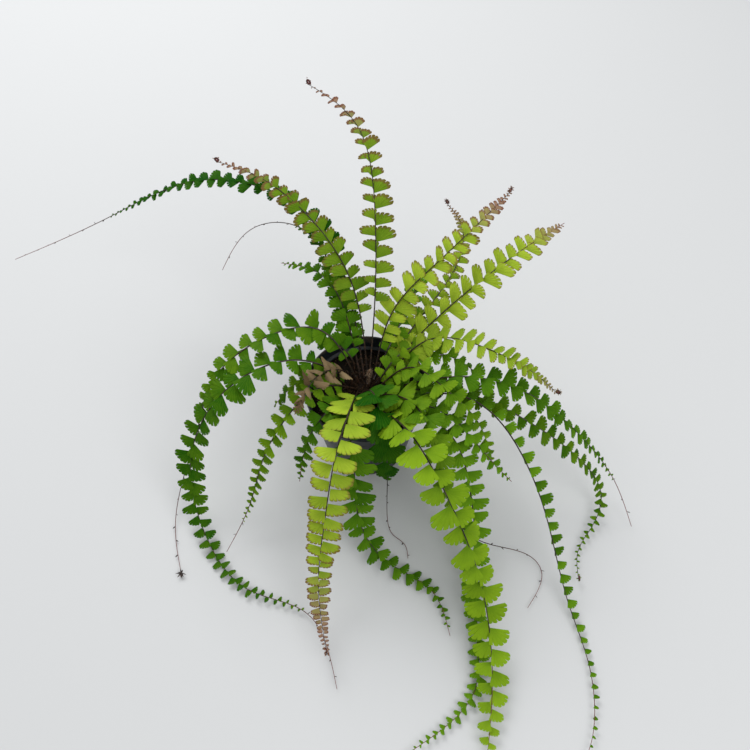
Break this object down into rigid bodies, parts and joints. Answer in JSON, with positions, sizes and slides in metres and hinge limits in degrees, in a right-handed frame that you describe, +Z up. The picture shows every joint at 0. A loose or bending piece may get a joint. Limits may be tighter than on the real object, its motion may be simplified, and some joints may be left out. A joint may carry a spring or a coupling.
{
  "type": "potted fern",
  "caption": "Small trailing maidenhair fern growing from a woody crown in a round plastic nursery pot filled with peat",
  "frame": {"origin": "middle of the pot's flat base, on the surface that it stands on", "axes": "+Z up, -Y towards the plant's front, +X to the right of someone who faces it"},
  "size_m": [0.3756, 0.3418, 0.1562],
  "materials": {
    "pot_plastic": "thin dark slate moulded plastic with a faint sheen",
    "peat": "damp, nearly black fibrous potting peat",
    "crown_wood": "dark brown scaly rhizome with fine hairs",
    "leaf_green": "thin fresh green leaflets with toothed edges on dark wiry stalks",
    "leaf_dark": "older, darker green leaflets on dark wiry stalks",
    "leaf_young": "young yellow-green leaflets that turn pinkish brown at the edges and towards the curled tip",
    "leaf_dry": "dead straw-brown leaflets, curled and papery"
  },
  "bodies": {
    "root": {"crown": "crown_wood", "fiddlehead": "leaf_dry", "frond_back_left_bare_tip": "leaf_dark", "frond_back_left_low": "leaf_dark", "frond_back_left_short": "leaf_dark", "frond_back_left_young": "leaf_young", "frond_back_right_curl": "leaf_young", "frond_back_right_short": "leaf_dark", "frond_back_right_young": "leaf_young", "frond_back_tall": "leaf_young", "frond_dried": "leaf_dry", "frond_far_left_runner": "leaf_dark", "frond_front_hanging": "leaf_dark", "frond_front_left_short": "leaf_dark", "frond_front_left_young": "leaf_young", "frond_front_longest": "leaf_green", "frond_front_right_dark": "leaf_dark", "frond_front_right_pale": "leaf_green", "frond_front_right_runner": "leaf_green", "frond_front_right_trailing": "leaf_dark", "frond_front_trailing": "leaf_dark", "frond_left_arching": "leaf_green", "frond_left_short": "leaf_green", "frond_left_small": "leaf_green", "frond_left_upper": "leaf_green", "frond_right_hooked": "leaf_green", "frond_right_long": "leaf_dark", "frond_right_low": "leaf_green", "frond_right_middle": "leaf_young", "frond_right_short": "leaf_dark", "frond_right_trailing": "leaf_dark", "frond_right_upper": "leaf_young", "nursery_pot": "pot_plastic", "peat": "peat"}
  },
  "joints": []
}
